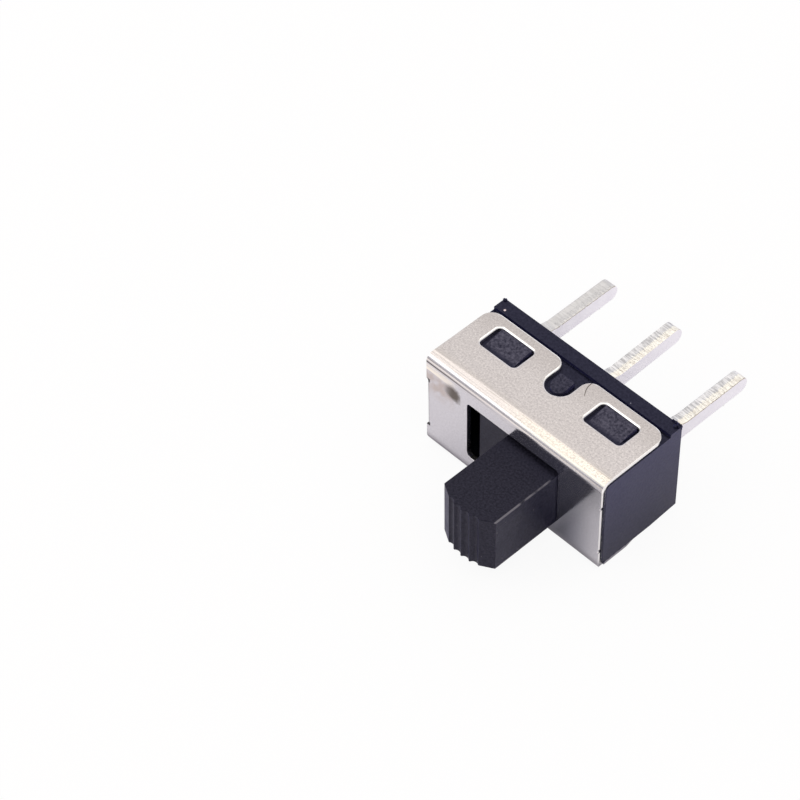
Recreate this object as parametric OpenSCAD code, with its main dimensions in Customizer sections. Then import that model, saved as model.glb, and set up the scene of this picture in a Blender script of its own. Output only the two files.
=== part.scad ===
// Miniature slide switch with one lever, two positions and three terminals in line.
// It lies on its lower steel flap: the lever points to -Y, the terminals to +Y, and it slides along X.

/* [Shell] */
// Length of the folded steel shell, along the lever's travel
shell_length = 12.6; // [12.3:0.1:12.7]
// Height of the shell over both flaps
shell_height = 6.7; // [6.6:0.1:7.2]
// Depth of the flaps behind the front plate's face
flap_depth = 4.9; // [4.8:0.1:5.1]
// Thickness of the steel sheet
sheet = 0.3; // [0.25:0.05:0.35]
// Outer radius of the two bends
bend_r = 0.45; // [0.4:0.05:0.6]
// Radius of the flaps' rear corners
flap_corner_r = 0.8; // [0.4:0.1:1]
// Length of each window that holds a lug of the base
window_length = 2.6; // [2.3:0.1:2.7]
// Depth of each window, from front to rear
window_depth = 1.6; // [1.5:0.1:1.7]
// Corner radius of the windows
window_r = 0.25; // [0.1:0.05:0.3]
// Distance between the centres of the two windows in a flap
window_pitch = 7.5; // [7.2:0.1:7.8]
// Width of the round-ended notch in the middle of each flap
notch_width = 1.56; // [1.5:0.02:1.7]
// Radius of the corners at the notch's mouth
notch_mouth_r = 0.7; // [0.4:0.1:0.8]

/* [Base] */
// Length of the moulded base, a little more than the shell's
base_length = 12.7; // [12.5:0.1:13.2]
// Distance from the front plate's face to the base's back
base_depth = 5.9; // [5.8:0.1:6.3]
// Thickness of the base's upper and lower walls
side_wall = 0.55; // [0.45:0.05:0.6]
// Thickness of the floor that holds the terminals
floor_wall = 1.6; // [1.4:0.1:1.8]
// How far the rear rim stands above the base's upper face
rim_rise = 0.2; // [0.1:0.05:0.3]
// How far the underside of the rear rim is lifted
rim_lift = 0.15; // [0.05:0.05:0.2]

/* [Lever and slider] */
// Size of the lever along its travel
lever_length = 3.7; // [3.5:0.05:3.75]
// Height of the lever
lever_height = 3.72; // [3.4:0.02:3.8]
// How far the lever's crown stands out of the front plate
lever_reach = 5.12; // [4.5:0.02:6]
// Radius of the lever's crown
crown_r = 3.2; // [3:0.1:4]
// Thickness of the carrier's end walls, on either side of the moving contact
carrier_end_wall = 0.27; // [0.2:0.01:0.3]
// Travel of the lever between its two positions
travel = 2.84; // [2.6:0.02:2.86]
// Height of the slot in the front plate
slot_height = 4.12; // [4.1:0.02:4.2]

/* [Terminals] */
// Distance between neighbouring terminals
pitch = 4.7; // [4.6:0.05:4.75]
// Thickness of the terminal strip
terminal_thickness = 0.8; // [0.7:0.05:0.85]
// Height of a terminal where it leaves the base
root_height = 3.1; // [2.8:0.1:3.3]
// Height of a terminal's pin
pin_height = 1; // [0.9:0.05:1.2]
// Distance from the front plate's face to the pins' tips
pin_reach = 12.6; // [11:0.1:13]

/* [Moving contact] */
// Thickness of the contact's spring strip
strip = 0.15; // [0.1:0.05:0.15]
// Width of the spring strip
strip_width = 2.4; // [2:0.1:2.6]
// Outer radius of the contact's rolled ends
roll_r = 0.45; // [0.4:0.05:0.5]
// Slope of the two spring arms, in degrees
arm_slope = 13.5; // [12:0.5:15]

/* [Clearances] */
// Gap between the front plate and the slider
front_gap = 0.05; // [0.03:0.01:0.1]
// Gap above and below the slider in the base
slider_gap = 0.08; // [0.05:0.01:0.1]
// Gap between the carrier and the base at the end of its travel
stop_gap = 0.05; // [0.02:0.01:0.1]
// Gap between the lever and the end of the slot at the end of its travel
lever_stop_gap = 0.02; // [0.01:0.01:0.04]
// Gap between the carrier's back and the fixed contacts
carrier_gap = 0.2; // [0.15:0.05:0.25]
// Play of the moving contact in its pocket
pocket_play = 0.1; // [0.05:0.05:0.1]

/* [Hidden] */
$fn = 64;
cut = 0.2;                                        // how far a cutting shape runs past what it cuts
mid_z = shell_height / 2;
half_travel = travel / 2;
bend_inner_r = bend_r - sheet;

slot_length = lever_length + travel + 2 * lever_stop_gap;
slot_mid_z = mid_z - 0.1;
slot_upper_r = 0.2;
slot_lower_r = 0.35;
window_front = 2.6;
notch_end = 2.71;                                 // where the notch's round end touches, behind the plate
taper_start = 2.2;                                // the lower flap narrows from here to its rear edge
taper = 0.4;
sheared_height = 3.4;                             // stretch of the plate's ends cut from the carrier strip
sheared_depths = [0.13, 0.02];                    // at the left and the right end
plate_corner_rs = [0.55, 0.25];                   // rounds of the plate's lower corners
relief_r = 0.12;

base_top = shell_height - sheet;
base_bottom = sheet;
lift_start = 3.9;                                 // the underside rises from here to the back
rim_front = flap_depth + 0.15;
shoe_half = pitch - half_travel;                  // the flat shoe ends over the middle of a fixed contact
contact_half = shoe_half + roll_r;
pocket_half = contact_half + pocket_play;
carrier_length = 2 * (pocket_half + carrier_end_wall);
cavity_length = carrier_length + travel + 2 * stop_gap;
cavity_floor = base_depth - floor_wall;
cavity_corner_r = 0.2;
lug_length = window_length - 0.45;
lug_front = window_front + 0.15;
lug_rear = window_front + window_depth - 0.03;
lug_rise = sheet - 0.05;
boss_width = 1;
boss_front = notch_end + 0.27;
boss_rear = 4.1;
boss_low = 0.1;

slider_front = sheet + front_gap;
carrier_height = base_top - base_bottom - 2 * side_wall - 2 * slider_gap;
contact_level = cavity_floor - 0.5;               // where the fixed contacts meet the moving one
slider_rear = contact_level - carrier_gap;
pocket_roof = 2.2;
lever_mid_z = slot_mid_z - 0.07;
lever_corner = lever_reach - 0.64;
crown_half = 1.05;
groove_pitch = 0.56;
groove_width = 0.5;
groove_depth = 0.14;
grooves = 4;

head_rise = 0.3;                                  // the contact head is taller than the root by this, both ways
root_high = mid_z + 1.45;
root_low = root_high - root_height;
land_depth = 0.5;                                 // level stretch of the root outside the base
slope_depth = 1.1;                                // depth over which the root narrows to the pin
shoulder_drop = 0.27;
pin_top = mid_z + 1;
pin_overlap = 0.1;
pin_start = base_depth + 2;
pin_tilts = [0, 2, -0.5];                         // slight bends of the pins, in degrees

arm_length = (contact_level - roll_r - roll_r * cos(arm_slope) - pocket_roof) / sin(arm_slope);

place_y = -(pin_reach - lever_reach) / 2;         // puts the part's middle at y = 0

// A rectangle from one corner to the other with round corners.
module rounded_rect(low, high, r) {
    size = high - low;
    translate([low.x + r, low.y]) square([size.x - 2 * r, size.y]);
    translate([low.x, low.y + r]) square([size.x, size.y - 2 * r]);
    for (x = [low.x + r, high.x - r], y = [low.y + r, high.y - r]) translate([x, y]) circle(r);
}

// What a rounded corner leaves of a square one: the corner is at the origin, the metal on -x and -y.
module corner_waste(r) {
    difference() {
        translate([-r, -r]) square(r + cut);
        translate([-r, -r]) circle(r);
    }
}

// Extrudes an outline drawn in depth and height along the part's length.
module along_x(length) {
    rotate([90, 0, 90]) linear_extrude(length, center = true) children();
}

// Extrudes an outline drawn in length and height through the front plate.
module through_plate() {
    translate([0, sheet + cut, 0]) rotate([90, 0, 0]) linear_extrude(sheet + 2 * cut) children();
}

// The front plate and both flaps in one bent channel.
module shell_section() {
    difference() {
        union() {
            rounded_rect([0, 0], [flap_depth - cut, shell_height], bend_r);
            translate([bend_r, 0]) square([flap_depth - bend_r, shell_height]);
        }
        union() {
            rounded_rect([sheet, sheet], [flap_depth - cut, shell_height - sheet], bend_inner_r);
            translate([bend_r, sheet]) square([flap_depth, shell_height - 2 * sheet]);
        }
    }
}

// Windows, notch and rounded corners, drawn as seen from above.
module flap_openings() {
    for (side = [-1, 1]) {
        x = side * window_pitch / 2;
        rounded_rect([x - window_length / 2, window_front],
                     [x + window_length / 2, window_front + window_depth], window_r);
        translate([side * shell_length / 2, flap_depth]) mirror([side < 0 ? 1 : 0, 0])
            corner_waste(flap_corner_r);
        translate([side * notch_width / 2, flap_depth]) mirror([side > 0 ? 1 : 0, 0])
            corner_waste(notch_mouth_r);
    }
    translate([0, notch_end + notch_width / 2]) circle(d = notch_width);
    translate([-notch_width / 2, notch_end + notch_width / 2]) square([notch_width, flap_depth]);
}

// The slot for the lever, with larger corners at its lower edge.
module lever_slot() {
    low = [-slot_length / 2, slot_mid_z - slot_height / 2];
    high = [slot_length / 2, slot_mid_z + slot_height / 2];
    step = [0, slot_height / 4];
    rounded_rect(low, high - step, slot_lower_r);
    rounded_rect(low + step, high, slot_upper_r);
}

// The sheared stretch at each end of the front plate with its two reliefs, and the rounded lower corners.
module plate_end_cuts() {
    for (end = [0, 1]) {
        edge = (end - 0.5) * shell_length;
        translate([edge, mid_z - 0.2]) square([2 * sheared_depths[end], sheared_height], center = true);
        for (z = [-1, 1]) translate([edge, mid_z - 0.2 + z * sheared_height / 2]) circle(relief_r);
        translate([edge, 0]) mirror([1 - end, 0]) mirror([0, 1]) corner_waste(plate_corner_rs[end]);
    }
}

module shell() {
    color("silver") difference() {
        along_x(shell_length) shell_section();
        translate([0, 0, -cut]) linear_extrude(shell_height + 2 * cut) flap_openings();
        through_plate() lever_slot();
        through_plate() plate_end_cuts();
        // the lower flap's tapered ends
        for (side = [-1, 1])
            translate([side * shell_length / 2, 0, -cut]) linear_extrude(sheet + 2 * cut)
                polygon([[0, taper_start], [side * cut, taper_start], [side * cut, flap_depth + cut],
                         [-side * taper, flap_depth + cut], [-side * taper, flap_depth]]);
    }
}

// The base's outline in depth and height, with the rim behind the flaps.
module base_section() {
    polygon([[sheet + bend_inner_r, base_bottom], [lift_start, base_bottom],
             [base_depth, base_bottom + rim_lift], [base_depth, base_top + rim_rise],
             [rim_front, base_top + rim_rise], [rim_front, base_top], [sheet + bend_inner_r, base_top],
             [sheet, base_top - bend_inner_r], [sheet, base_bottom + bend_inner_r]]);
}

// A lug that ramps up through a window and catches on its rear edge.
module lug() {
    along_x(lug_length)
        polygon([[lug_front, 0], [lug_rear, 0], [lug_rear, lug_rise], [lug_rear - 0.25, lug_rise]]);
}

// The boss in the notch: round at the front, and rising to the flap's outer face.
module boss() {
    intersection() {
        along_x(boss_width)
            polygon([[boss_front, 0], [boss_rear, 0], [boss_rear, sheet],
                     [boss_rear - 0.5, sheet], [boss_front, boss_low]]);
        linear_extrude(sheet) union() {
            translate([0, boss_front + boss_width / 2]) circle(d = boss_width);
            translate([-boss_width / 2, boss_front + boss_width / 2]) square([boss_width, boss_rear]);
        }
    }
}

// Lugs and boss on the face that lies under a flap.
module catches() {
    for (side = [-1, 1]) translate([side * window_pitch / 2, 0, 0]) lug();
    boss();
}

module base() {
    color("dimgray") difference() {
        union() {
            along_x(base_length) base_section();
            translate([0, 0, base_top]) catches();
            translate([0, 0, base_bottom]) mirror([0, 0, 1]) catches();
        }
        // the cavity that the slider runs in
        translate([0, cavity_floor, 0]) rotate([90, 0, 0]) linear_extrude(cavity_floor)
            rounded_rect([-cavity_length / 2, base_bottom + side_wall],
                         [cavity_length / 2, base_top - side_wall], cavity_corner_r);
        for (i = [-1:1]) translate([i * pitch, 0, 0]) along_x(terminal_thickness)
            translate([cavity_floor - cut, root_low]) square([floor_wall + 2 * cut, root_height]);
    }
}

// The lever's outline seen from above, about its own middle.
module lever_outline() {
    crown_y = crown_r - lever_reach;
    shoulder_y = crown_y - sqrt(crown_r * crown_r - crown_half * crown_half);
    half = lever_length / 2;
    polygon([[-half, slider_front], [-half, -lever_corner], [-crown_half, shoulder_y],
             [crown_half, shoulder_y], [half, -lever_corner], [half, slider_front]]);
    intersection() {
        translate([0, crown_y]) circle(crown_r, $fn = 128);
        translate([-crown_half, -lever_reach]) square([2 * crown_half, lever_reach]);
    }
}

// The lever's outline with the grip grooves in its crown.
module grooved_outline() {
    groove_r = (groove_width * groove_width / 4 + groove_depth * groove_depth) / (2 * groove_depth);
    difference() {
        lever_outline();
        for (i = [0:grooves - 1]) {
            turn = asin((i - (grooves - 1) / 2) * groove_pitch / crown_r);
            translate([0, crown_r - lever_reach]) rotate(turn)
                translate([0, groove_depth - groove_r - crown_r]) circle(groove_r);
        }
    }
}

module slider() {
    color("black") translate([half_travel, 0, 0]) difference() {
        union() {
            translate([0, 0, lever_mid_z - lever_height / 2]) linear_extrude(lever_height) grooved_outline();
            translate([-carrier_length / 2, slider_front, mid_z - carrier_height / 2])
                cube([carrier_length, slider_rear - slider_front, carrier_height]);
        }
        // the pocket that holds the moving contact
        translate([-pocket_half, pocket_roof, slot_mid_z - strip_width / 2 - pocket_play])
            cube([2 * pocket_half, slider_rear, strip_width + 2 * pocket_play]);
    }
}

// One end of the moving contact: half of the flat shoe, the rolled end and the spring arm above it.
module contact_half_strip() {
    translate([0, contact_level - strip, 0]) cube([shoe_half, strip, strip_width]);
    translate([shoe_half, contact_level - roll_r, 0]) {
        rotate([0, 0, arm_slope - 90]) rotate_extrude(angle = 180 - arm_slope)
            translate([roll_r - strip, 0]) square([strip, strip_width]);
        rotate([0, 0, arm_slope]) translate([-arm_length, -roll_r, 0])
            cube([arm_length, strip, strip_width]);
    }
}

module moving_contact() {
    color("goldenrod") translate([half_travel, 0, slot_mid_z - strip_width / 2]) {
        contact_half_strip();
        mirror([1, 0, 0]) contact_half_strip();
    }
}

// A terminal's root and shoulders in depth and height, from the fixed contact out to the pin.
module root_outline() {
    pin_bottom = pin_top - pin_height;
    slope_start = pin_start - slope_depth;
    polygon([[contact_level, root_low], [contact_level, root_high],
             [base_depth + land_depth, root_high], [slope_start - 0.1, root_high - 0.15],
             [slope_start + 0.3, root_high - shoulder_drop], [pin_start - 0.3, pin_top + 0.08],
             [pin_start, pin_top], [pin_start, pin_bottom], [pin_start - 0.4, pin_bottom],
             [slope_start + 0.1, root_low + 1], [base_depth + 0.3, root_low + 0.25], [base_depth, root_low]]);
}

// One terminal: the contact head inside the base, the root through its floor, and the pin.
module terminal(place) {
    straight = pin_reach - pin_start - pin_height / 2;
    color("gold") translate([place * pitch, 0, 0]) {
        along_x(terminal_thickness) translate([contact_level, root_low - head_rise])
            square([cavity_floor - contact_level, root_height + 2 * head_rise]);
        along_x(terminal_thickness) root_outline();
        translate([0, pin_start, pin_top - pin_height / 2]) rotate([pin_tilts[place + 1], 0, 0]) {
            along_x(terminal_thickness) translate([-pin_overlap, -pin_height / 2])
                square([straight + pin_overlap, pin_height]);
            along_x(terminal_thickness) translate([straight, 0]) circle(d = pin_height);
        }
    }
}

translate([0, place_y, 0]) {
    shell();
    base();
    slider();
    moving_contact();
    terminal(-1);  // terminal_left
    terminal(0);  // terminal_middle
    terminal(1);  // terminal_right
}
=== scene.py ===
from math import cos, pi, radians, sin

import bmesh
import bpy
from mathutils import Matrix, Vector, noise


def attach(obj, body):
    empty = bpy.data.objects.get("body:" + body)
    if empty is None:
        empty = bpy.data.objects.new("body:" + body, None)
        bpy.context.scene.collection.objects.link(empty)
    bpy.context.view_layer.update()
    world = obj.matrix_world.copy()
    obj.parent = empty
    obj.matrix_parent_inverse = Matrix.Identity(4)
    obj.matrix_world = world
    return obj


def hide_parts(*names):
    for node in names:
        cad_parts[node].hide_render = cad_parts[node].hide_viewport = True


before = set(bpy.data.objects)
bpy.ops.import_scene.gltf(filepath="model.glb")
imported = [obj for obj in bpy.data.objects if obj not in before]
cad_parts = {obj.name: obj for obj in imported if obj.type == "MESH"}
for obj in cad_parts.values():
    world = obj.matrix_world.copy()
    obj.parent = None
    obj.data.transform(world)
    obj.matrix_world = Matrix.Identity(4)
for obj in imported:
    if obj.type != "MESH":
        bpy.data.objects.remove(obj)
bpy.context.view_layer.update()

# ---------------------------------------------------------------------------
# Shell: a nickel-plated steel sheet, blanked, punched and folded round the
# base like a channel. Punching rolls the edges of the flaps over, and the
# fold draws fine lines in the plating along the bend.
# ---------------------------------------------------------------------------

MM = 0.001
PLATE_Y = -3.74          # the front plate's outer face, in mm
MIDDLE_Z = 3.35          # half the shell's height, in mm
RELIEF_Z = 3.15          # midway between the two reliefs in each end of the plate, in mm


def linear(hex_colour):
    """An sRGB hex colour as the linear RGBA that Blender's sockets take."""
    channels = [int(hex_colour[i:i + 2], 16) / 255 for i in (1, 3, 5)]
    return [c / 12.92 if c <= 0.04045 else ((c + 0.055) / 1.055) ** 2.4 for c in channels] + [1]


def add(tree, kind, inputs={}, **settings):
    """Adds a node. A socket given for an input is linked, anything else is its value."""
    node = tree.nodes.new(kind)
    for name, value in settings.items():
        setattr(node, name, value)
    for name, value in inputs.items():
        if isinstance(value, bpy.types.NodeSocket):
            tree.links.new(value, node.inputs[name])
        else:
            node.inputs[name].default_value = value
    return node


def new_material(name):
    """An empty material, its tree, and its surface's place in mm, with y from the front plate."""
    material = bpy.data.materials.new(name)
    material.use_nodes = True
    tree = material.node_tree
    tree.nodes.clear()
    place = add(tree, "ShaderNodeMapping", {"Vector": add(tree, "ShaderNodeTexCoord").outputs["Object"],
                                            "Scale": Vector((1, 1, 1)) / MM, "Location": (0, -PLATE_Y, 0)})
    return material, tree, place.outputs["Vector"]


def finish_surface(tree, inputs):
    """A Principled surface with these inputs, on the material's output."""
    surface = add(tree, "ShaderNodeBsdfPrincipled", inputs)
    add(tree, "ShaderNodeOutputMaterial", {"Surface": surface.outputs["BSDF"]})


def rise(tree, value, low, high):
    """0 below low, 1 above high, and smooth between. It falls where low is the larger."""
    return add(tree, "ShaderNodeMapRange", {"Value": value, "From Min": low, "From Max": high},
               interpolation_type="SMOOTHSTEP").outputs["Result"]


def away_from(tree, value, middle):
    """How far the value is from the middle, on either side of it."""
    apart = add(tree, "ShaderNodeMath", {0: value, 1: middle}, operation="SUBTRACT").outputs[0]
    return add(tree, "ShaderNodeMath", {0: apart}, operation="ABSOLUTE").outputs[0]


def both(tree, *masks):
    """Where all of these masks hold."""
    held = masks[0]
    for mask in masks[1:]:
        held = add(tree, "ShaderNodeMath", {0: held, 1: mask}, operation="MULTIPLY").outputs[0]
    return held


def tint(tree, where, under, over):
    """The colour under, with the colour over it where the mask says."""
    return add(tree, "ShaderNodeMix", {"Factor": where, "A": under, "B": over},
               data_type="RGBA").outputs["Result"]


def eased_copy(node, material, edge_mm, share=lambda place: 1, clamp=True):
    """A copy of a CAD node as one welded mesh with eased edges. The share of edge_mm that an edge gets
    comes from its middle's place in mm, with y from the front plate."""
    work = bmesh.new()
    work.from_mesh(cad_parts[node].data)
    bmesh.ops.scale(work, vec=Vector((1, 1, 1)) / MM, verts=work.verts)
    bmesh.ops.remove_doubles(work, verts=work.verts, dist=0.0005)
    bmesh.ops.dissolve_limit(work, angle_limit=radians(0.2), verts=work.verts, edges=work.edges)
    weight = work.edges.layers.float.new("bevel_weight_edge")
    for edge in work.edges:
        if edge.calc_face_angle(0) > radians(32):
            edge[weight] = share((edge.verts[0].co + edge.verts[1].co) / 2 - Vector((0, PLATE_Y, 0)))
            edge.smooth = edge[weight] > 0
    for face in work.faces:
        face.smooth = True
    sharp = bpy.data.meshes.new(node + "_sharp")
    work.to_mesh(sharp)
    work.free()
    if "custom_normal" in sharp.attributes:
        sharp.attributes.remove(sharp.attributes["custom_normal"])
    form = bpy.data.objects.new(node + "_form", sharp)
    bpy.context.scene.collection.objects.link(form)
    ease = form.modifiers.new("ease", "BEVEL")
    ease.width = edge_mm
    ease.segments = 3
    ease.limit_method = "WEIGHT"
    ease.use_clamp_overlap = clamp
    weigh = form.modifiers.new("weigh", "WEIGHTED_NORMAL")
    weigh.mode = "FACE_AREA"
    weigh.weight = 100
    weigh.keep_sharp = True
    mesh = bpy.data.meshes.new_from_object(form.evaluated_get(bpy.context.evaluated_depsgraph_get()))
    bpy.data.objects.remove(form)
    mesh.transform(Matrix.Scale(MM, 4))
    mesh.materials.clear()
    mesh.materials.append(material)
    piece = bpy.data.objects.new(node + "_eased", mesh)
    bpy.context.scene.collection.objects.link(piece)
    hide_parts(node)
    return piece


# Bright nickel over rolled steel: a satin mirror with the sheet's fine grain. Lines run along the
# folds. A painted highlight lies along the fold, cream towards the right, and a painted bright line and,
# on the left half, a painted dark line stand for the bend's reflections. A stain, a warmer patch and a
# brighter streak lie near the plate's left end, and one flap has a hair scratch. The rolled rims on the
# openings' left and rear edges carry a painted highlight, the plate is painted a little lighter and
# cooler than the flaps, and painted shade darkens the flaps' rear, the plate's foot and the reliefs and
# edge at its left end. The masks on the plate's right part aren't marks on the metal: they paint, in a
# fixed place, the darker reflection that the photograph shows there.
nickel, tree, place = new_material("nickel_plated_rolled_steel")
x, y, z = add(tree, "ShaderNodeSeparateXYZ", {"Vector": place}).outputs
grain = add(tree, "ShaderNodeTexNoise", {"Vector": place, "Scale": 1 / 0.11, "Detail": 3.0,
                                         "Roughness": 0.65}).outputs["Fac"]
cloud = add(tree, "ShaderNodeTexNoise", {"Vector": place, "Scale": 1 / 1.6, "Detail": 2.0}).outputs["Fac"]
ragged = add(tree, "ShaderNodeTexNoise", {"Vector": place, "Scale": 1 / 0.5, "Detail": 3.0}).outputs["Fac"]

from_middle = away_from(tree, z, MIDDLE_Z)
round_fold = add(tree, "ShaderNodeMath", {0: y, 1: from_middle}, operation="ADD").outputs[0]
near_fold = both(tree, rise(tree, round_fold, 2.55, 2.95), rise(tree, round_fold, 4.5, 3.8))
# painted highlight: a bright line inside each bend, where the bend reflects the light
painted_bend_highlight = both(tree, rise(tree, round_fold, 3.03, 3.08), rise(tree, round_fold, 3.15, 3.11))
along = add(tree, "ShaderNodeMath", {0: x, 1: 0.22}, operation="MULTIPLY").outputs[0]
across = add(tree, "ShaderNodeMath", {0: round_fold, 1: 11.0}, operation="MULTIPLY").outputs[0]
drawn = add(tree, "ShaderNodeCombineXYZ", {"X": along, "Y": across})
lines = add(tree, "ShaderNodeTexNoise", {"Vector": drawn.outputs["Vector"], "Scale": 1.0, "Detail": 3.0,
                                         "Roughness": 0.6}).outputs["Fac"]
wander = add(tree, "ShaderNodeMath", {0: cloud, 1: -0.12, 2: round_fold}, operation="MULTIPLY_ADD").outputs[0]
to_left = rise(tree, x, 0.0, -5.8)
# painted reflection: a dark line along the bend's left half
painted_bend_dark_line = both(tree, rise(tree, wander, 2.79, 2.84), rise(tree, wander, 2.95, 2.90), to_left)

to_end = add(tree, "ShaderNodeMath", {0: x}, operation="ABSOLUTE").outputs[0]
sag_end = add(tree, "ShaderNodeMapRange", {"Value": to_end, "From Min": 3.4, "From Max": 6.2, "To Min": 0.75,
                                           "To Max": 0.62}, interpolation_type="SMOOTHSTEP").outputs["Result"]
sag = rise(tree, y, 0.15, sag_end)

on_plate = rise(tree, y, 0.2, 0.1)
streak = both(tree, on_plate, rise(tree, x, -3.9, -4.8), rise(tree, z, 5.5, 5.75), rise(tree, z, 6.2, 6.05),
              rise(tree, lines, 0.35, 0.6))
blot_place = add(tree, "ShaderNodeVectorMath", {0: place, 1: (1.7, 0.0, 2.0)}, operation="MULTIPLY").outputs[0]
from_blot = add(tree, "ShaderNodeVectorMath", {0: blot_place, 1: (-7.4, 0.0, 10.45)}, operation="DISTANCE")
from_blot = add(tree, "ShaderNodeMath", {0: ragged, 1: 0.9, 2: from_blot.outputs["Value"]},
                operation="MULTIPLY_ADD").outputs[0]
blot = both(tree, on_plate, rise(tree, from_blot, 1.85, 1.0), rise(tree, x, -5.6, -4.3),
            rise(tree, x, -3.72, -3.82))
pink = both(tree, on_plate, rise(tree, x, -4.0, -4.9), rise(tree, z, 3.6, 4.7), rise(tree, z, 5.9, 5.4),
            rise(tree, ragged, 0.25, 0.65))
# painted reflection: the plate's right part is painted darker and bluer in a fixed place, and this doesn't move
# with the lever
beside = add(tree, "ShaderNodeMath", {0: x, 1: -1.72, 2: z}, operation="MULTIPLY_ADD").outputs[0]
painted_reflection_dark = both(tree, on_plate, rise(tree, x, 6.2, 3.4), rise(tree, beside, -2.6, -5.6), 0.8)
painted_reflection_top = both(tree, on_plate, rise(tree, x, 4.4, 6.2), rise(tree, z, 3.6, 5.8), 0.25)
painted_reflection_blue = both(tree, on_plate, rise(tree, x, 0.5, 3.5), rise(tree, x, 6.0, 3.8), rise(tree, z, 6.3, 6.0), 0.2)
# painted shade: the plate's foot and the lower edge of the right end darken towards the floor
low_faces = add(tree, "ShaderNodeMath", {0: rise(tree, y, 1.0, 0.5), 1: rise(tree, x, 6.2, 6.28)},
                operation="MAXIMUM").outputs[0]
painted_foot_shade = both(tree, low_faces, rise(tree, z, 0.9, 0.2))
frayed = add(tree, "ShaderNodeMath", {0: grain, 1: 0.35, 2: round_fold}, operation="MULTIPLY_ADD").outputs[0]
to_right = rise(tree, x, -2.0, 2.5)
# painted highlight: on the fold's right half, a cream line and a brighter cream band above it
painted_fold_line = both(tree, rise(tree, round_fold, 3.28, 3.36), rise(tree, round_fold, 3.62, 3.5), to_right)
painted_fold_band = both(tree, rise(tree, round_fold, 3.5, 3.62), rise(tree, frayed, 4.3, 4.1), to_right, 0.7)

from_top = add(tree, "ShaderNodeMath", {0: y, 1: 4.62}, operation="SUBTRACT").outputs[0]
bow = add(tree, "ShaderNodeMath", {0: from_top, 1: 2.0}, operation="POWER").outputs[0]
bow = add(tree, "ShaderNodeMath", {0: bow, 1: -0.5, 2: x}, operation="MULTIPLY_ADD").outputs[0]
off_hair = away_from(tree, bow, 1.13)
scratch = both(tree, rise(tree, off_hair, 0.035, 0.012), rise(tree, y, 3.75, 3.85), rise(tree, y, 4.87, 4.82),
               rise(tree, z, 6.5, 6.6))

facing = add(tree, "ShaderNodeSeparateXYZ", {"Vector": add(tree, "ShaderNodeTexCoord").outputs["Normal"]})
upright = add(tree, "ShaderNodeMath", {0: facing.outputs["Z"]}, operation="ABSOLUTE").outputs[0]
inward = add(tree, "ShaderNodeMath", {0: facing.outputs["X"], 1: facing.outputs["Y"]},
             operation="SUBTRACT").outputs[0]
inward = add(tree, "ShaderNodeMath", {0: rise(tree, inward, -0.1, 0.25), 1: rise(tree, y, 4.7, 4.8)},
             operation="MAXIMUM").outputs[0]
# painted highlight: the rolled rims on the openings' left and rear edges and the flaps' rear edge are painted
# white
painted_rim_highlight = both(tree, rise(tree, y, 0.9, 1.2), rise(tree, upright, 0.99, 0.93), rise(tree, upright, 0.2, 0.5),
                 inward)

# the plate's left end is painted dark in its reliefs and along its edge, a painted shade, and the right end is
# cut bright
from_relief = away_from(tree, z, RELIEF_Z)
at_end = rise(tree, y, 0.4, 0.3)
along_end = both(tree, rise(tree, x, -6.09, -6.14), rise(tree, from_relief, 1.84, 1.78), 0.5)
in_relief = both(tree, rise(tree, x, -6.02, -6.08), rise(tree, from_relief, 1.56, 1.62),
                 rise(tree, from_relief, 1.88, 1.82))
painted_end_shade = add(tree, "ShaderNodeMath", {0: along_end, 1: in_relief}, operation="MAXIMUM").outputs[0]
painted_end_shade = both(tree, at_end, painted_end_shade)
cut_end = both(tree, rise(tree, x, 6.2, 6.25), rise(tree, facing.outputs["X"], 0.6, 0.85))

shade = tint(tree, grain, linear("#97949A"), linear("#F9F6F9"))
shade = tint(tree, both(tree, near_fold, 0.6), shade, linear("#D2CDCC"))
shade = tint(tree, both(tree, near_fold, rise(tree, lines, 0.45, 0.3)), shade, linear("#A8A39F"))
# painted reflection tone: the plate is painted a little lighter and cooler than the flaps
shade = tint(tree, both(tree, on_plate, 0.35), shade, linear("#DEE0EC"))
shade = tint(tree, painted_reflection_blue, shade, linear("#C0C8EE"))
# painted shade: the flaps darken towards the rear
shade = tint(tree, both(tree, rise(tree, y, 2.5, 4.8), 0.22), shade, linear("#98928F"))
shade = tint(tree, painted_bend_highlight, shade, linear("#EFE9E3"))
shade = tint(tree, painted_fold_line, shade, linear("#CFCBC2"))
cream = tint(tree, rise(tree, grain, 0.35, 0.6), linear("#CFC8C0"), linear("#F6F0E6"))
shade = tint(tree, painted_fold_band, shade, cream)
shade = tint(tree, painted_bend_dark_line, shade, linear("#544C47"))
shade = tint(tree, painted_reflection_dark, shade, linear("#464654"))
shade = tint(tree, painted_reflection_top, shade, linear("#464654"))
shade = tint(tree, pink, shade, linear("#C4BAB8"))
shade = tint(tree, streak, shade, linear("#FFF8EC"))
shade = tint(tree, blot, shade, linear("#6A635E"))
shade = tint(tree, scratch, shade, linear("#5E5753"))
shade = tint(tree, painted_rim_highlight, shade, linear("#FFFFFF"))
shade = tint(tree, cut_end, shade, linear("#FFFFFF"))
shade = tint(tree, painted_foot_shade, shade, linear("#9896A0"))
shade = tint(tree, painted_end_shade, shade, linear("#2A282C"))
gloss = add(tree, "ShaderNodeMapRange", {"Value": cloud, "To Min": 0.08, "To Max": 0.18}).outputs["Result"]
gloss = add(tree, "ShaderNodeMath", {0: blot, 1: 0.3, 2: gloss}, operation="MULTIPLY_ADD").outputs[0]
gloss = add(tree, "ShaderNodeMath", {0: both(tree, near_fold, rise(tree, x, -2.0, 2.0)), 1: 0.1, 2: gloss},
            operation="MULTIPLY_ADD").outputs[0]
relief = add(tree, "ShaderNodeMath", {0: sag, 1: 0.065}, operation="MULTIPLY").outputs[0]
relief = add(tree, "ShaderNodeMath", {0: both(tree, near_fold, lines), 1: 0.006, 2: relief},
             operation="MULTIPLY_ADD").outputs[0]
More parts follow.
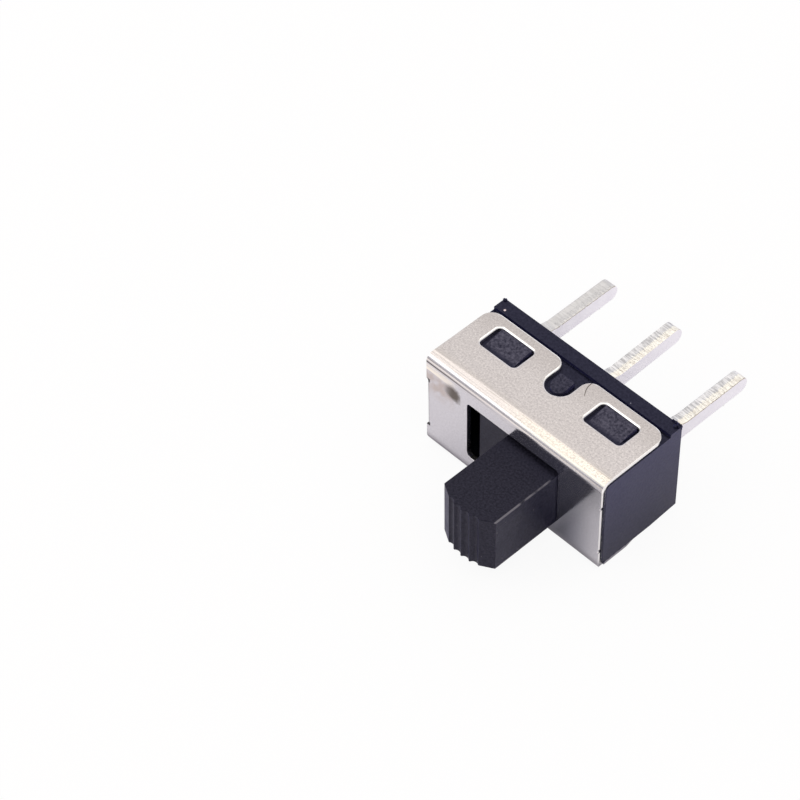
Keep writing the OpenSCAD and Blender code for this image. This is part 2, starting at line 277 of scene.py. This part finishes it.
depth = add(tree, "ShaderNodeMapRange", {"Value": both(tree, on_plate, rise(tree, x, 2.5, 3.2)),
                                         "To Min": 0.0012, "To Max": 0.0004}).outputs["Result"]
relief = add(tree, "ShaderNodeMath", {0: grain, 1: depth, 2: relief}, operation="MULTIPLY_ADD").outputs[0]
foot_sag = both(tree, rise(tree, y, 0.3, 0.1), rise(tree, z, 6.45, 6.1), rise(tree, x, 0.5, 2.5))
relief = add(tree, "ShaderNodeMath", {0: foot_sag, 1: 0.06, 2: relief}, operation="MULTIPLY_ADD").outputs[0]
bump = add(tree, "ShaderNodeBump", {"Height": relief, "Strength": 1.0, "Distance": MM})
finish_surface(tree, {"Base Color": shade, "Metallic": 0.97, "Roughness": gloss,
                      "Normal": bump.outputs["Normal"]})


def rolled_over(place):
    """How far the punch rolled an edge over: most round the flaps' openings, not at all at the reliefs."""
    if abs(place.x) > 5.7 and place.y < 0.6 and abs(place.z - RELIEF_Z) > 1.4:
        return 0
    if abs(place.z - MIDDLE_Z) < 3.3 or place.y < 0.5:
        return 0.2
    return 0.2 + 0.8 * min(1, max(0, (6.3 - abs(place.x)) / 0.6))


shell = eased_copy("shell", nickel, 0.14, rolled_over, clamp=False)
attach(shell, "housing")

# ---------------------------------------------------------------------------
# Base: one black moulding, glass-filled nylon, with the terminals set in its
# floor. Its lugs and bosses stand in the shell's windows and notches, and the
# mould has left ragged flash at the rim's rear corners and under one end.
# ---------------------------------------------------------------------------

# Glass-filled nylon: blue-black, half glossy and a little mottled. The lugs are duller, where glass
# shows at the surface, and a few specks of dust lie on it. The haze is a painted sheen, set by height
# to match the photograph's tone. The haze is set by height to match the photograph's tone, and the
# exported model loses it.
moulding, tree, place = new_material("moulded_glass_filled_nylon")
x, y, z = add(tree, "ShaderNodeSeparateXYZ", {"Vector": place}).outputs
mottle = add(tree, "ShaderNodeTexNoise", {"Vector": place, "Scale": 1 / 0.14, "Detail": 3.0,
                                          "Roughness": 0.65}).outputs["Fac"]
cloud = add(tree, "ShaderNodeTexNoise", {"Vector": place, "Scale": 1 / 1.8, "Detail": 2.0}).outputs["Fac"]
from_middle = away_from(tree, z, MIDDLE_Z)
on_catch = both(tree, rise(tree, from_middle, 3.06, 3.12), rise(tree, y, 4.4, 4.2))
aside = add(tree, "ShaderNodeMath", {0: x}, operation="ABSOLUTE").outputs[0]
pale = add(tree, "ShaderNodeMapRange", {"Value": aside, "From Min": 0.6, "From Max": 1.2,
                                        "To Min": 0.5}).outputs["Result"]
dots = add(tree, "ShaderNodeTexVoronoi", {"Vector": place, "Scale": 1 / 0.9, "Randomness": 1.0})
rare = add(tree, "ShaderNodeSeparateXYZ", {"Vector": dots.outputs["Color"]}).outputs["X"]
dust = both(tree, rise(tree, dots.outputs["Distance"], 0.05, 0.03), rise(tree, rare, 0.72, 0.74))
shade = tint(tree, rise(tree, mottle, 0.3, 0.7), linear("#030308"), linear("#1F1F2A"))
shade = tint(tree, both(tree, on_catch, rise(tree, mottle, 0.2, 0.85), pale), shade, linear("#5C5A66"))
shade = tint(tree, dust, shade, linear("#7A7A86"))
from_speck = add(tree, "ShaderNodeVectorMath", {0: place, 1: (-5.75, 5.27, 6.6)}, operation="DISTANCE")
shade = tint(tree, rise(tree, from_speck.outputs["Value"], 0.08, 0.05), shade, linear("#E0CFCF"))
gloss = add(tree, "ShaderNodeMapRange", {"Value": cloud, "To Min": 0.24, "To Max": 0.36}).outputs["Result"]
gloss = add(tree, "ShaderNodeMath", {0: on_catch, 1: 0.25, 2: gloss}, operation="MULTIPLY_ADD").outputs[0]
depth = add(tree, "ShaderNodeMapRange", {"Value": on_catch, "To Min": 0.005, "To Max": 0.012}).outputs["Result"]
relief = both(tree, mottle, depth)
bump = add(tree, "ShaderNodeBump", {"Height": relief, "Strength": 1.0, "Distance": MM})
# painted sheen: a blue sheen that grows with height
painted_sheen = add(tree, "ShaderNodeMapRange", {"Value": z, "From Min": 0.5, "From Max": 6.0, "To Min": 0.12,
                                        "To Max": 0.38}).outputs["Result"]
finish_surface(tree, {"Base Color": shade, "Roughness": gloss, "Specular IOR Level": 0.33,
                      "Specular Tint": linear("#B4B8F4"), "Sheen Weight": painted_sheen, "Sheen Roughness": 0.4,
                      "Sheen Tint": linear("#7C7CFF"), "Normal": bump.outputs["Normal"]})

base = eased_copy("base", moulding, 0.05)
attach(base, "housing")

# Each crumb of flash: where its middle is in mm, with y from the front plate, and its half sizes.
crumbs = [((6.22, 5.78, 6.63), (0.14, 0.13, 0.17)), ((6.02, 5.84, 6.62), (0.14, 0.07, 0.13)),
          ((5.80, 5.86, 6.61), (0.12, 0.06, 0.09)), ((6.12, 5.62, 6.60), (0.12, 0.10, 0.12)),
          ((6.33, 5.87, 6.50), (0.05, 0.06, 0.20)), ((-6.24, 5.80, 6.60), (0.12, 0.10, 0.10)),
          ((6.34, 0.42, 0.34), (0.03, 0.12, 0.07)), ((6.34, 0.82, 0.33), (0.02, 0.10, 0.05)),
          ((6.34, 1.20, 0.34), (0.02, 0.06, 0.06)), ((6.34, 1.66, 0.33), (0.02, 0.11, 0.04)),
          ((6.34, 2.10, 0.33), (0.02, 0.06, 0.05))]
work = bmesh.new()
for seed, (middle, half) in enumerate(crumbs):
    made = bmesh.ops.create_icosphere(work, subdivisions=3, radius=1.0)["verts"]
    for vert in made:
        ragged = 1 + 0.45 * noise.noise(vert.co * 2.2 + Vector((seed * 7.1, 0, 0)))
        vert.co = Vector([m + c * h * ragged for m, c, h in zip(middle, vert.co, half)])
        vert.co = (vert.co + Vector((0, PLATE_Y, 0))) * MM
for face in work.faces:
    face.smooth = True
mesh = bpy.data.meshes.new("mould_flash")
work.to_mesh(mesh)
work.free()
mesh.materials.append(moulding)
flash = bpy.data.objects.new("mould_flash", mesh)
bpy.context.scene.collection.objects.link(flash)
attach(flash, "housing")

# ---------------------------------------------------------------------------
# Slider: one black nylon moulding, the grooved lever and the carrier behind
# the front plate. Thumbs have dulled its top and bruised its long edges pale.
# ---------------------------------------------------------------------------

LEVER_X = 1.42           # the lever's middle at rest, in mm
LEVER_Z = 3.18

# Black nylon: matt, blue-black, with pale bruises along the lever's edges and specks of dust. The shine
# of its right side is set by place to match the photograph's tone, and the exported model loses it. The
# shine of its right side is painted, set by place to match the photograph's tone.
nylon, tree, place = new_material("moulded_black_nylon")
x, y, z = add(tree, "ShaderNodeSeparateXYZ", {"Vector": place}).outputs
mottle = add(tree, "ShaderNodeTexNoise", {"Vector": place, "Scale": 1 / 0.12, "Detail": 4.0,
                                          "Roughness": 0.65}).outputs["Fac"]
cloud = add(tree, "ShaderNodeTexNoise", {"Vector": place, "Scale": 1 / 1.1, "Detail": 2.0}).outputs["Fac"]
aside = add(tree, "ShaderNodeMath", {0: x, 1: LEVER_X}, operation="SUBTRACT").outputs[0]
above = away_from(tree, z, LEVER_Z)
bruise = both(tree, rise(tree, aside, 1.75, 1.8), rise(tree, above, 1.76, 1.81), rise(tree, y, -0.2, -0.6),
              rise(tree, cloud, 0.3, 0.5))
dots = add(tree, "ShaderNodeTexVoronoi", {"Vector": place, "Scale": 1 / 0.55, "Randomness": 1.0})
rare = add(tree, "ShaderNodeSeparateXYZ", {"Vector": dots.outputs["Color"]}).outputs["X"]
dust = both(tree, rise(tree, dots.outputs["Distance"], 0.07, 0.04), rise(tree, rare, 0.8, 0.82))
shade = tint(tree, rise(tree, mottle, 0.3, 0.7), linear("#020207"), linear("#24232D"))
shade = tint(tree, bruise, shade, linear("#6C6A70"))
shade = tint(tree, dust, shade, linear("#8A8684"))
gloss = add(tree, "ShaderNodeMapRange", {"Value": cloud, "To Min": 0.36, "To Max": 0.5}).outputs["Result"]
relief = add(tree, "ShaderNodeMath", {0: mottle, 1: 0.012}, operation="MULTIPLY").outputs[0]
bump = add(tree, "ShaderNodeBump", {"Height": relief, "Strength": 1.0, "Distance": MM})
facing = add(tree, "ShaderNodeSeparateXYZ", {"Vector": add(tree, "ShaderNodeTexCoord").outputs["Normal"]})
on_side = rise(tree, facing.outputs["X"], 0.5, 0.9)
# painted reflection: the right side's specular level is lower than the rest near the plate and rises above it
# towards the tip
painted_shine = add(tree, "ShaderNodeMath", {0: on_side, 1: -0.1, 2: 0.28}, operation="MULTIPLY_ADD").outputs[0]
painted_shine = add(tree, "ShaderNodeMath", {0: both(tree, on_side, rise(tree, y, -1.2, -4.2)), 1: 0.2, 2: painted_shine},
            operation="MULTIPLY_ADD").outputs[0]
finish_surface(tree, {"Base Color": shade, "Roughness": gloss, "Specular IOR Level": painted_shine,
                      "Specular Tint": linear("#C8C8F4"), "Sheen Weight": 0.08, "Sheen Roughness": 0.4,
                      "Sheen Tint": linear("#6060FF"), "Normal": bump.outputs["Normal"]})

lever = eased_copy("slider", nylon, 0.05)
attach(lever, "lever")

# ---------------------------------------------------------------------------
# Terminals: stamped brass strip with a bright silver plate. The faces are
# smooth. The punch sheared the upper and lower edges: grey and scored on one
# side, torn and creamy on the other, with marks across them all.
# ---------------------------------------------------------------------------

PITCH = 4.7
PIN_TOP = 4.35
PIN_HEIGHT = 1.0
PIN_START = 7.9
PIN_END = 12.1           # where the rounded tip begins

# Silver plate on brass: pale and soft on the faces. On the sheared edges bands run across it, and the
# brass shows through faintly near the root, which is bare beside the base.
silver, tree, place = new_material("silver_plated_brass")
x, y, _ = add(tree, "ShaderNodeSeparateXYZ", {"Vector": place}).outputs
facing = add(tree, "ShaderNodeTexCoord").outputs["Normal"]
upright = add(tree, "ShaderNodeSeparateXYZ", {"Vector": facing}).outputs["Z"]
upright = add(tree, "ShaderNodeMath", {0: upright}, operation="ABSOLUTE").outputs[0]
sheared = rise(tree, upright, 0.6, 0.9)
own_x = add(tree, "ShaderNodeMath", {0: x, 1: PITCH / 2, 2: -PITCH / 2}, operation="WRAP").outputs[0]
across = add(tree, "ShaderNodeMath", {0: own_x, 1: 1.6}, operation="MULTIPLY").outputs[0]
along = add(tree, "ShaderNodeMath", {0: y, 1: 9.0}, operation="MULTIPLY").outputs[0]
other = add(tree, "ShaderNodeMath", {0: x, 1: own_x}, operation="SUBTRACT").outputs[0]
scored = add(tree, "ShaderNodeCombineXYZ", {"X": across, "Y": along, "Z": other})
bands = add(tree, "ShaderNodeTexNoise", {"Vector": scored.outputs["Vector"], "Scale": 1.0, "Detail": 2.0,
                                         "Roughness": 0.6}).outputs["Fac"]
cloud = add(tree, "ShaderNodeTexNoise", {"Vector": place, "Scale": 1 / 0.5, "Detail": 3.0}).outputs["Fac"]
tear_edge = add(tree, "ShaderNodeMath", {0: bands, 1: 0.5, 2: own_x}, operation="MULTIPLY_ADD").outputs[0]
tear_start = add(tree, "ShaderNodeMapRange", {"Value": x, "From Min": -3.0, "From Max": -2.0, "To Min": 0.55,
                                              "To Max": 0.22}).outputs["Result"]
past_tear = add(tree, "ShaderNodeMath", {0: tear_edge, 1: tear_start}, operation="SUBTRACT").outputs[0]
torn = both(tree, sheared, rise(tree, past_tear, 0.0, 0.07))
lip = both(tree, rise(tree, own_x, 0.3, 0.36), rise(tree, upright, 0.4, 0.5), rise(tree, upright, 0.95, 0.8),
           rise(tree, bands, 0.35, 0.5))
brassy = both(tree, torn, rise(tree, y, 8.2, 6.6))
shade = tint(tree, cloud, linear("#EAE9F4"), linear("#F8F8FF"))
grey = tint(tree, rise(tree, bands, 0.35, 0.65), linear("#B6B7BC"), linear("#E7E8ED"))
cream = tint(tree, rise(tree, bands, 0.35, 0.6), linear("#E2DED7"), linear("#FAF9F4"))
shade = tint(tree, sheared, shade, grey)
shade = tint(tree, torn, shade, cream)
shade = tint(tree, both(tree, brassy, rise(tree, bands, 0.6, 0.4)), shade, linear("#F2EBD8"))
shade = tint(tree, lip, shade, linear("#B9AF9F"))
root_edge = add(tree, "ShaderNodeMath", {0: bands, 1: 0.4, 2: y}, operation="MULTIPLY_ADD").outputs[0]
bare = tint(tree, cloud, linear("#D9BD72"), linear("#F0DC9A"))
shade = tint(tree, rise(tree, root_edge, 7.05, 6.95), shade, bare)
shade = tint(tree, both(tree, sheared, rise(tree, x, -3.0, -4.0), 0.7), shade, linear("#D0D0D2"))
gloss = add(tree, "ShaderNodeMapRange", {"Value": sheared, "To Min": 0.3, "To Max": 0.42}).outputs["Result"]
relief = both(tree, sheared, bands)
relief = add(tree, "ShaderNodeMath", {0: relief, 1: 0.012}, operation="MULTIPLY").outputs[0]
bump = add(tree, "ShaderNodeBump", {"Height": relief, "Strength": 1.0, "Distance": MM})
finish_surface(tree, {"Base Color": shade, "Metallic": 1.0, "Roughness": gloss,
                      "Normal": bump.outputs["Normal"]})

for side in ("left", "middle", "right"):
    terminal = eased_copy("terminal_" + side, silver, 0.06)
    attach(terminal, "housing")

# ---------------------------------------------------------------------------
# Shear marks: the ridges that the punch left across the pins' upper and lower
# edges, in the strip's own silver-plated brass. Each pin has its own.
# ---------------------------------------------------------------------------

marks = bpy.data.node_groups.new("shear_marks", "GeometryNodeTree")
marks.interface.new_socket("Geometry", in_out="OUTPUT", socket_type="NodeSocketGeometry")
sockets = {}
for name, kind, value in (("Start", "NodeSocketVector", (0, 0, 0)), ("End", "NodeSocketVector", (0, 0, 0)),
                          ("Count", "NodeSocketInt", 30), ("Length", "NodeSocketFloat", 0.3 * MM),
                          ("Width", "NodeSocketFloat", 0.06 * MM), ("Height", "NodeSocketFloat", 0.03 * MM),
                          ("Seed", "NodeSocketInt", 1), ("Material", "NodeSocketMaterial", None)):
    socket = marks.interface.new_socket(name, in_out="INPUT", socket_type=kind)
    if value is not None:
        socket.default_value = value
    sockets[name] = socket.identifier
given = add(marks, "NodeGroupInput").outputs
line = add(marks, "GeometryNodeMeshLine", {"Count": given["Count"], "Start Location": given["Start"],
                                           "Offset": given["End"]}, mode="END_POINTS")
size = add(marks, "ShaderNodeCombineXYZ", {"X": given["Length"], "Y": given["Width"], "Z": given["Height"]})
ridge = add(marks, "GeometryNodeMeshUVSphere", {"Segments": 8, "Rings": 5, "Radius": 0.5})
jog = add(marks, "FunctionNodeRandomValue", {"Seed": given["Seed"]}, data_type="FLOAT_VECTOR")
jog.inputs[0].default_value = (-0.06 * MM, -0.04 * MM, 0)
jog.inputs[1].default_value = (0.06 * MM, 0.04 * MM, 0)
moved = add(marks, "GeometryNodeSetPosition", {"Geometry": line.outputs["Mesh"], "Offset": jog.outputs[0]})
vary = add(marks, "FunctionNodeRandomValue", {"Seed": given["Seed"]}, data_type="FLOAT_VECTOR")
vary.inputs[0].default_value = (0.5, 0.5, 0.3)
vary.inputs[1].default_value = (1.2, 1.3, 1.2)
scale = add(marks, "ShaderNodeVectorMath", {0: size.outputs["Vector"], 1: vary.outputs[0]},
            operation="MULTIPLY")
laid = add(marks, "GeometryNodeInstanceOnPoints", {"Points": moved.outputs["Geometry"],
                                                   "Instance": ridge.outputs["Mesh"],
                                                   "Scale": scale.outputs["Vector"]})
real = add(marks, "GeometryNodeRealizeInstances", {"Geometry": laid.outputs["Instances"]})
coated = add(marks, "GeometryNodeSetMaterial", {"Geometry": real.outputs["Geometry"],
                                                "Material": given["Material"]})
add(marks, "NodeGroupOutput", {"Geometry": coated.outputs["Geometry"]})

work = bmesh.new()
for index, (side, tilt) in enumerate((("left", 0), ("middle", 2), ("right", -0.5))):
    turn = Matrix.Rotation(radians(tilt), 4, "X")
    root = Vector((PITCH * (index - 1), PIN_START + PLATE_Y, PIN_TOP - PIN_HEIGHT / 2))
    ridge_height = 0.005 if side == "left" else 0.016
    for face_z in (-1, 1):
        ends = [(root + turn @ Vector((0.14, reach, face_z * PIN_HEIGHT / 2))) * MM
                for reach in (0.1, PIN_END - PIN_START)]
        form = bpy.data.objects.new("marks_form", bpy.data.meshes.new("marks_form"))
        bpy.context.scene.collection.objects.link(form)
        laying = form.modifiers.new("marks", "NODES")
        laying.node_group = marks
        for name, value in (("Start", ends[0]), ("End", ends[1]), ("Count", 38), ("Length", 0.42 * MM),
                            ("Width", 0.07 * MM), ("Height", ridge_height * MM),
                            ("Seed", index * 2 + face_z + 5), ("Material", silver)):
            laying[sockets[name]] = value
        laid_marks = form.evaluated_get(bpy.context.evaluated_depsgraph_get())
        work.from_mesh(bpy.data.meshes.new_from_object(laid_marks))
        bpy.data.objects.remove(form)
for face in work.faces:
    face.smooth = True
mesh = bpy.data.meshes.new("shear_marks")
work.to_mesh(mesh)
work.free()
mesh.materials.append(silver)
shear_marks = bpy.data.objects.new("shear_marks", mesh)
bpy.context.scene.collection.objects.link(shear_marks)
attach(shear_marks, "housing")

# ---------------------------------------------------------------------------
# Moving contact: a bent strip of silver-plated spring bronze in the slider's
# pocket. It can't be seen from outside.
# ---------------------------------------------------------------------------

# Spring bronze under thin silver: warm, satin, with the strip's rolling marks.
bronze, tree, place = new_material("silver_plated_spring_bronze")
rolled = add(tree, "ShaderNodeMapping", {"Vector": place, "Scale": (1.5, 12.0, 12.0)})
marks_fac = add(tree, "ShaderNodeTexNoise", {"Vector": rolled.outputs["Vector"], "Scale": 1.0,
                                             "Detail": 3.0}).outputs["Fac"]
finish_surface(tree, {"Base Color": tint(tree, marks_fac, linear("#D2C29C"), linear("#EDE3CC")),
                      "Metallic": 1.0, "Roughness": 0.3})
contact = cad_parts["moving_contact"]
contact.data.materials.clear()
contact.data.materials.append(bronze)

# ---------------------------------------------------------------------------
# Stage: a pale floor, soft lamps and the camera.
# ---------------------------------------------------------------------------

# White paper: the eye sees it as the white background, with the switch's soft shadow kept on it.
paper = bpy.data.materials.new("white_paper")
paper.use_nodes = True
tree = paper.node_tree
tree.nodes.clear()
matt = add(tree, "ShaderNodeBsdfDiffuse", {"Color": linear("#F4F2F6")})
white = add(tree, "ShaderNodeEmission", {"Color": (1, 1, 1, 1), "Strength": 1.0})
rays = add(tree, "ShaderNodeLightPath").outputs
seen = add(tree, "ShaderNodeMath", {0: rays["Is Glossy Ray"], 1: rays["Is Transmission Ray"]},
           operation="MAXIMUM")
seen = add(tree, "ShaderNodeMath", {0: seen.outputs[0], 1: 0.15}, operation="MULTIPLY")
seen = add(tree, "ShaderNodeMath", {0: rays["Is Camera Ray"], 1: 0.92, 2: seen.outputs[0]},
           operation="MULTIPLY_ADD")
blend = add(tree, "ShaderNodeMixShader", {0: seen.outputs[0], 1: matt.outputs["BSDF"],
                                          2: white.outputs["Emission"]})
add(tree, "ShaderNodeOutputMaterial", {"Surface": blend.outputs["Shader"]})
floor_half = 0.6
floor_mesh = bpy.data.meshes.new("floor")
corners = [(-floor_half, -floor_half), (floor_half, -floor_half), (floor_half, floor_half),
           (-floor_half, floor_half)]
floor_mesh.from_pydata([(x, y, -0.02 * MM) for x, y in corners], [], [(0, 1, 2, 3)])
floor_mesh.materials.append(paper)
floor = bpy.data.objects.new("floor", floor_mesh)
bpy.context.scene.collection.objects.link(floor)

world = bpy.data.worlds.new("studio")
bpy.context.scene.world = world
world.use_nodes = True
tree = world.node_tree
tree.nodes.clear()
outlook = add(tree, "ShaderNodeTexCoord").outputs["Generated"]
height = add(tree, "ShaderNodeSeparateXYZ", {"Vector": outlook}).outputs["Z"]
sky = add(tree, "ShaderNodeValToRGB", {"Fac": height})
# height of a direction, and the light there as a share of 1.6
stops = [(0.0, "#9D9792"), (0.3, "#A8A7A9"), (0.66, "#CBC7C2"), (0.775, "#D2CCC4"), (0.82, "#FFF9F1"),
         (0.90, "#FFF9F1"), (0.96, "#B4B4B4")]
while len(sky.color_ramp.elements) < len(stops):
    sky.color_ramp.elements.new(0.5)
for element, (position, colour) in zip(sky.color_ramp.elements, stops):
    element.position = position
    element.color = linear(colour)
# the eye sees plain white past the floor, and the surfaces see the studio
glow = add(tree, "ShaderNodeBackground", {"Color": sky.outputs["Color"], "Strength": 1.6})
white = add(tree, "ShaderNodeBackground", {"Color": (1, 1, 1, 1), "Strength": 1.0})
rays = add(tree, "ShaderNodeLightPath").outputs
blend = add(tree, "ShaderNodeMixShader", {0: rays["Is Camera Ray"], 1: glow.outputs["Background"],
                                          2: white.outputs["Background"]})
add(tree, "ShaderNodeOutputWorld", {"Surface": blend.outputs["Shader"]})


LAMP_DISTANCE = 0.3      # from the switch, in metres


def softbox(name, azimuth, elevation, width, height, radiance):
    """A soft lamp aimed at the switch. Azimuth 0 is behind it and 90 on its left."""
    data = bpy.data.lights.new(name, "AREA")
    data.shape = "RECTANGLE"
    data.size, data.size_y = width, height
    data.energy = radiance * width * height * pi
    lamp = bpy.data.objects.new(name, data)
    a, e = radians(azimuth), radians(elevation)
    lamp.location = Vector((-sin(a) * cos(e), cos(a) * cos(e), sin(e))) * LAMP_DISTANCE
    lamp.rotation_euler = (-lamp.location).to_track_quat("-Z", "Y").to_euler()
    bpy.context.scene.collection.objects.link(lamp)


softbox("front_left", 140, 38, 0.22, 0.12, 1.1)
softbox("back_left", 42, 18, 0.65, 0.18, 0.4)

camera_data = bpy.data.cameras.new("camera")
camera_data.sensor_width = 36
camera_data.lens = 137.45
camera_data.shift_x = -0.0026
camera_data.clip_start = 0.005
camera = bpy.data.objects.new("camera", camera_data)
camera.matrix_world = (Matrix.Translation(Vector((71.03, -74.77 + PLATE_Y, 124.23)) * MM)
                       @ Matrix.Rotation(radians(46.66), 4, "Z")
                       @ Matrix.Rotation(radians(90 - 48.37), 4, "X")
                       @ Matrix.Rotation(radians(-0.995), 4, "Z"))
bpy.context.scene.collection.objects.link(camera)
bpy.context.scene.camera = camera

bpy.context.scene.view_settings.view_transform = "Standard"
